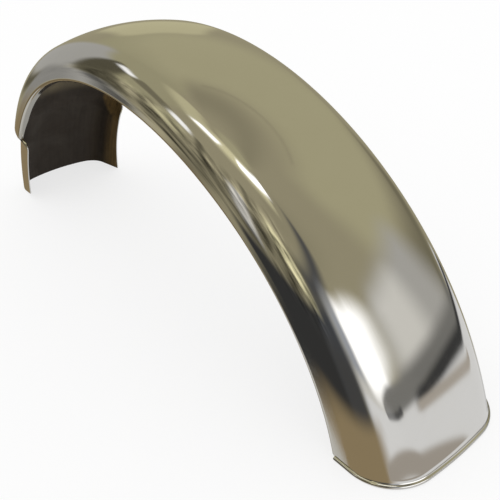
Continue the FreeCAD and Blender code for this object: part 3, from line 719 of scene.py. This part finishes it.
# %% Colours of the room
CREAM = (0.44, 0.41, 0.26)
OLIVE = (0.33, 0.30, 0.20)
BROWN = (0.30, 0.23, 0.13)
CLAY = (0.43, 0.39, 0.34)
GREY = (0.50, 0.49, 0.46)
BLUE = (0.40, 0.42, 0.46)
WHITE = (1.00, 1.00, 1.00)
DARK = (0.03, 0.03, 0.03)
print("base paint of the room:", OLIVE)


# %% Panels above the object
def spot(at, half, corner, soft, slant=0.0, lean=0.0, bow=0.0):
    """Where a panel stands and how large it is, in degrees, as inputs for its mask."""
    return {
        "Middle": at[0], "Level": at[1], "Half Width": half[0], "Half Height": half[1],
        "Round": corner, "Soft": soft, "Slant": slant, "Lean": lean, "Bow": bow}


# each panel has a name, a paint, a brightness and a spot, and lies over the panels before it
HIGH_PANELS = [
    ("left wall", CREAM, 0.80, spot(at=(-172, 40), half=(38, 24), corner=10, soft=4)),
    ("far wall", CREAM, 0.94, spot(at=(103, 41), half=(57, 20), corner=14, soft=8, slant=-0.04)),
    ("far wall rail", OLIVE, 0.95, spot(at=(105, 60), half=(38, 0.5), corner=0.4, soft=0.5, slant=-0.06)),
    ("ceiling shade", OLIVE, 0.82, spot(at=(98, 74), half=(54, 6), corner=5, soft=6, slant=-0.2)),
    ("back ceiling", OLIVE, 0.90, spot(at=(-20, 58), half=(40, 12), corner=8, soft=10)),
    ("far corner", OLIVE, 0.55, spot(at=(78, 9), half=(24, 11), corner=6, soft=9)),
    ("side wall", GREY, 0.85, spot(at=(44, 15), half=(18, 15), corner=5, soft=7)),
    ("side wall glow", GREY, 1.35, spot(at=(36, 16), half=(9, 12), corner=5, soft=6)),
    ("side wall foot", GREY, 0.38, spot(at=(48, 2), half=(24, 4), corner=3, soft=3, slant=-0.08)),
    ("ceiling light", CREAM, 1.60,
     spot(at=(-80, 76), half=(55, 8), corner=8, soft=6, slant=0.05, bow=-0.002)),
    ("ceiling crown", CREAM, 0.90, spot(at=(0, 90), half=(180, 8), corner=1, soft=3)),
    ("ceiling lamp", WHITE, 1.90, spot(at=(-44, 75), half=(34, 3.5), corner=3, soft=2.5)),
    ("front ceiling light", CREAM, 1.20, spot(at=(-150, 68), half=(34, 8), corner=8, soft=5)),
    ("front ceiling lamp", WHITE, 1.60, spot(at=(-119, 67.5), half=(12, 4), corner=3, soft=3, slant=0.3)),
    ("pale cupboard", CREAM, 1.14, spot(at=(149.5, 10), half=(8.5, 10), corner=4, soft=1.5)),
]

# %% Panels level with the object
LEVEL_PANELS = [
    ("shade over bench", OLIVE, 0.45, spot(at=(-98, 9), half=(46, 11), corner=6, soft=8, slant=0.42)),
    ("dim over window", DARK, 2.60, spot(at=(-24, 44), half=(34, 7), corner=7, soft=7, slant=0.5)),
    ("dark bench", DARK, 1.20, spot(at=(-92, -18), half=(42, 18), corner=8, soft=4, slant=0.5)),
    ("bench end", BLUE, 0.15, spot(at=(-56, 6), half=(14, 16), corner=8, soft=7, slant=0.7)),
    ("window side", BLUE, 0.90, spot(at=(-32, 17), half=(10, 17), corner=8, soft=9, slant=0.4)),
    ("window foot", GREY, 1.30, spot(at=(-26, 0), half=(18, 8), corner=5, soft=4)),
    ("window", WHITE, 1.45, spot(at=(-2, 20.5), half=(24, 15.5), corner=11, soft=5)),
    ("sill", GREY, 0.40, spot(at=(10, 4.5), half=(22, 4.5), corner=4, soft=1.5, bow=-0.012)),
    ("front silver", GREY, 0.80, spot(at=(-176, 13), half=(18, 19), corner=8, soft=4)),
    ("front grey", GREY, 0.55, spot(at=(-159, -9), half=(11, 8), corner=4, soft=4)),
    ("front dark", OLIVE, 0.28, spot(at=(-155, 18), half=(8, 20), corner=3, soft=2.5, lean=-0.3)),
    ("front dim", OLIVE, 0.55, spot(at=(-140, 37), half=(10, 5), corner=3, soft=2)),
    ("front window", CREAM, 0.80, spot(at=(-127, 25), half=(5, 16), corner=4, soft=3, lean=0.25)),
    ("front window top", WHITE, 1.10, spot(at=(-124, 36), half=(5, 4), corner=3, soft=2)),
    ("front lamp", WHITE, 1.10, spot(at=(-157, 36), half=(6, 2.5), corner=2, soft=2)),
    ("front post", OLIVE, 0.40, spot(at=(-89, 32), half=(2.5, 13), corner=2, soft=2)),
    ("front rail", OLIVE, 0.40, spot(at=(-116, 22), half=(2, 15), corner=2, soft=1.5, lean=0.1)),
    ("front strip", GREY, 0.85, spot(at=(-104, 12), half=(4, 16), corner=3, soft=2, lean=0.3)),
    ("bright shelf", CREAM, 1.50, spot(at=(-71, 27), half=(9, 10), corner=6, soft=5, slant=-0.4)),
    ("shelf lamp", CREAM, 2.00, spot(at=(-74, 33), half=(5, 4), corner=4, soft=4)),
]

# %% Panels below the object
LOW_PANELS = [
    ("near floor", WHITE, 0.60, spot(at=(11, -60), half=(99, 28), corner=6, soft=4)),
    ("floor", WHITE, 0.74, spot(at=(26, -17), half=(68, 15.5), corner=8, soft=1.5, slant=-0.05)),
    ("shade by bench", DARK, 2.00, spot(at=(-56, -8), half=(15, 14), corner=6, soft=8, slant=0.3)),
    ("dark line", DARK, 2.50, spot(at=(5, -0.3), half=(16, 1.3), corner=1, soft=0.8)),
    ("skirting", DARK, 1.50,
     spot(at=(62, -3.5), half=(34, 2.4), corner=2, soft=1.6, slant=-0.17, bow=-0.004)),
    ("floor line", CLAY, 1.00, spot(at=(44, -7), half=(16, 1.6), corner=1, soft=1, slant=-0.2)),
    ("bench edge", BROWN, 0.95, spot(at=(-82, -37.9), half=(55, 12), corner=6, soft=4.5, slant=0.387)),
    ("bench shine", WHITE, 0.76, spot(at=(-17, -16), half=(18, 11), corner=6, soft=12)),
    ("rug", CLAY, 0.88, spot(at=(2, -15.5), half=(42, 4.5), corner=3, soft=1.5, bow=-0.0065)),
    ("low front", BROWN, 0.85, spot(at=(-176, -40), half=(14, 26), corner=6, soft=3)),
    ("low front end", BROWN, 0.60, spot(at=(-155, -44), half=(14, 24), corner=6, soft=4)),
    ("front low dark", OLIVE, 0.35, spot(at=(-176, -8), half=(8, 2.5), corner=2, soft=2)),
    ("floor under bench", GREY, 0.90, spot(at=(-110, -71), half=(75, 17), corner=5, soft=2)),
    ("floor by bench", GREY, 1.10, spot(at=(-149, -51), half=(18.5, 12), corner=4, soft=1.0)),
    ("floor in front", GREY, 0.70, spot(at=(146, -58), half=(26, 22), corner=8, soft=4)),
]
PANELS = HIGH_PANELS + LEVEL_PANELS + LOW_PANELS
print("room of %d panels" % len(PANELS))

# %% Paint the dome
paint = bpy.data.materials.new("painted_room")
paint.use_nodes = True
tree = paint.node_tree
tree.nodes.clear()
place = node(tree, "ShaderNodeTexCoord")
facing = node(tree, "ShaderNodeVectorMath", operation="NORMALIZE", inputs={0: place.outputs["Object"]})
apart = node(tree, "ShaderNodeSeparateXYZ", inputs={0: facing.outputs[0]})
turn = maths(tree, "DEGREES", maths(tree, "ARCTAN2", apart.outputs["Y"], apart.outputs["X"]))
rise = maths(tree, "DEGREES", maths(tree, "ARCSINE", apart.outputs["Z"]))
painted = (*OLIVE, 1)
for name, colour, light, sizes in PANELS:
    mask = node(tree, "ShaderNodeGroup", node_tree=panel, label=name, inputs={
        "Turn": turn, "Height": rise, **sizes})
    lit = tuple(part * light for part in colour)
    painted = mix_colour(tree, mask.outputs["Mask"], painted, (*lit, 1))
print("painted_room: %d nodes for the panels" % len(tree.nodes))

# %% [markdown]
# ## Small things along the side of the room
# A real workshop wall isn't plain: tools, shelves and boxes break it up, and the curved side of the blade
# pulls their reflections into long streaks. Painting each of them would take many more panels. One noise
# texture, measured in degrees like the panels and kept to that side of the room by a mask, does the same.

# %% Break up the side of the room
THINGS_SPOT = spot(at=(-108, 12), half=(48, 20), corner=8, soft=10, slant=0.35)
THING_WIDTH = 7.0
THING_HEIGHT = 12.0
DARK_THING, PALE_THING = 0.36, 0.66
DARKEST, PALEST = 0.25, 1.9

cells = node(tree, "ShaderNodeCombineXYZ", inputs={
    "X": maths(tree, "DIVIDE", turn, THING_WIDTH), "Y": maths(tree, "DIVIDE", rise, THING_HEIGHT)})
things = node(tree, "ShaderNodeTexNoise", inputs={
    "Vector": cells.outputs[0], "Scale": 1.0, "Detail": 3.0, "Roughness": 0.6})
shades = remap(tree, things.outputs["Fac"], DARK_THING, PALE_THING, DARKEST, PALEST)
where = node(tree, "ShaderNodeGroup", node_tree=panel, label="things", inputs={
    "Turn": turn, "Height": rise, **THINGS_SPOT})
broken = mix_colour(tree, where.outputs["Mask"], painted, shades, blend_type="MULTIPLY")
glow = node(tree, "ShaderNodeEmission", inputs={"Color": broken, "Strength": 1.0})
node(tree, "ShaderNodeOutputMaterial", inputs={"Surface": glow.outputs[0]})
print("painted_room: %d nodes" % len(tree.nodes))


# %% Stand the dome
def stage_object(name, bm, material):
    """A piece of the studio, which isn't part of the object."""
    made = bpy.data.meshes.new(name)
    bm.to_mesh(made)
    bm.free()
    made.materials.append(material)
    piece = bpy.data.objects.new(name, made)
    bpy.context.scene.collection.objects.link(piece)
    return piece


DOME_RADIUS = 40.0
DOME_SPLITS = 4

bm = bmesh.new()
bmesh.ops.create_icosphere(bm, subdivisions=DOME_SPLITS, radius=DOME_RADIUS)
bmesh.ops.reverse_faces(bm, faces=bm.faces[:])
dome = stage_object("room_dome", bm, paint)
dome.visible_camera = False
dome.visible_diffuse = False
dome.visible_shadow = False
dome.visible_transmission = False
print("dome of radius %.0f m" % DOME_RADIUS)

# %% [markdown]
# ## A pale floor
# The blade stands on plain white paper and throws a soft shadow. A white diffuse floor alone comes out a
# little grey, and more light would burn out the metal. So the paper is partly a plain white that shows only
# where it is looked at, and the rest of it still takes the shadow. The metal mirrors the floor of the painted
# room, so this floor is kept out of its reflections.

# %% Paint the floor
FLOOR_CHALK = (0.97, 0.97, 0.97, 1)
FLOOR_WHITE = 0.75

pale = bpy.data.materials.new("pale_floor")
pale.use_nodes = True
tree = pale.node_tree
tree.nodes.clear()
chalk = node(tree, "ShaderNodeBsdfDiffuse", inputs={"Color": FLOOR_CHALK})
paper = node(tree, "ShaderNodeEmission", inputs={"Color": (1, 1, 1, 1), "Strength": 1.0})
ray = node(tree, "ShaderNodeLightPath")
seen = maths(tree, "ADD", ray.outputs["Is Camera Ray"], ray.outputs["Is Glossy Ray"])
seen = maths(tree, "ADD", seen, ray.outputs["Is Transmission Ray"])
white_share = maths(tree, "MULTIPLY", seen, FLOOR_WHITE)
cover = node(tree, "ShaderNodeMixShader", inputs={0: white_share, 1: chalk.outputs[0], 2: paper.outputs[0]})
node(tree, "ShaderNodeOutputMaterial", inputs={"Surface": cover.outputs[0]})
print("pale_floor: %d nodes" % len(tree.nodes))

# %% Lay the floor
FLOOR_REACH = 8.0

bm = bmesh.new()
bmesh.ops.create_grid(bm, x_segments=1, y_segments=1, size=FLOOR_REACH)
floor = stage_object("pale_floor", bm, pale)
floor.visible_glossy = False
print("floor %.0f m wide" % (2 * FLOOR_REACH))

# %% [markdown]
# ## Light and camera
# A plain white sky lights the floor evenly, so the background stays white and the shadow stays soft. The
# camera stands where the photograph was taken from: behind the blade, on its left and a little above. Its
# turn is given as three angles, which are easier to change than a whole matrix.

# %% White sky
world = bpy.data.worlds.new("white_sky")
bpy.context.scene.world = world
world.use_nodes = True
world.node_tree.nodes["Background"].inputs["Color"].default_value = (1, 1, 1, 1)
world.node_tree.nodes["Background"].inputs["Strength"].default_value = 1.0
bpy.context.scene.view_settings.view_transform = "Standard"
print("sky:", world.name)

# %% Camera
CAMERA_PLACE = (0.4871, -0.2816, 0.3718)
CAMERA_TILT = 57.230
CAMERA_ROLL = 3.595
CAMERA_HEADING = 51.191
LENS_MM = 46.28
SENSOR_MM = 36.0

lens = bpy.data.cameras.new("camera")
lens.lens = LENS_MM
lens.sensor_width = SENSOR_MM
camera = bpy.data.objects.new("camera", lens)
bpy.context.scene.collection.objects.link(camera)
camera.location = CAMERA_PLACE
camera.rotation_euler = [math.radians(angle) for angle in (CAMERA_TILT, CAMERA_ROLL, CAMERA_HEADING)]
bpy.context.scene.camera = camera
print("camera at", CAMERA_PLACE)
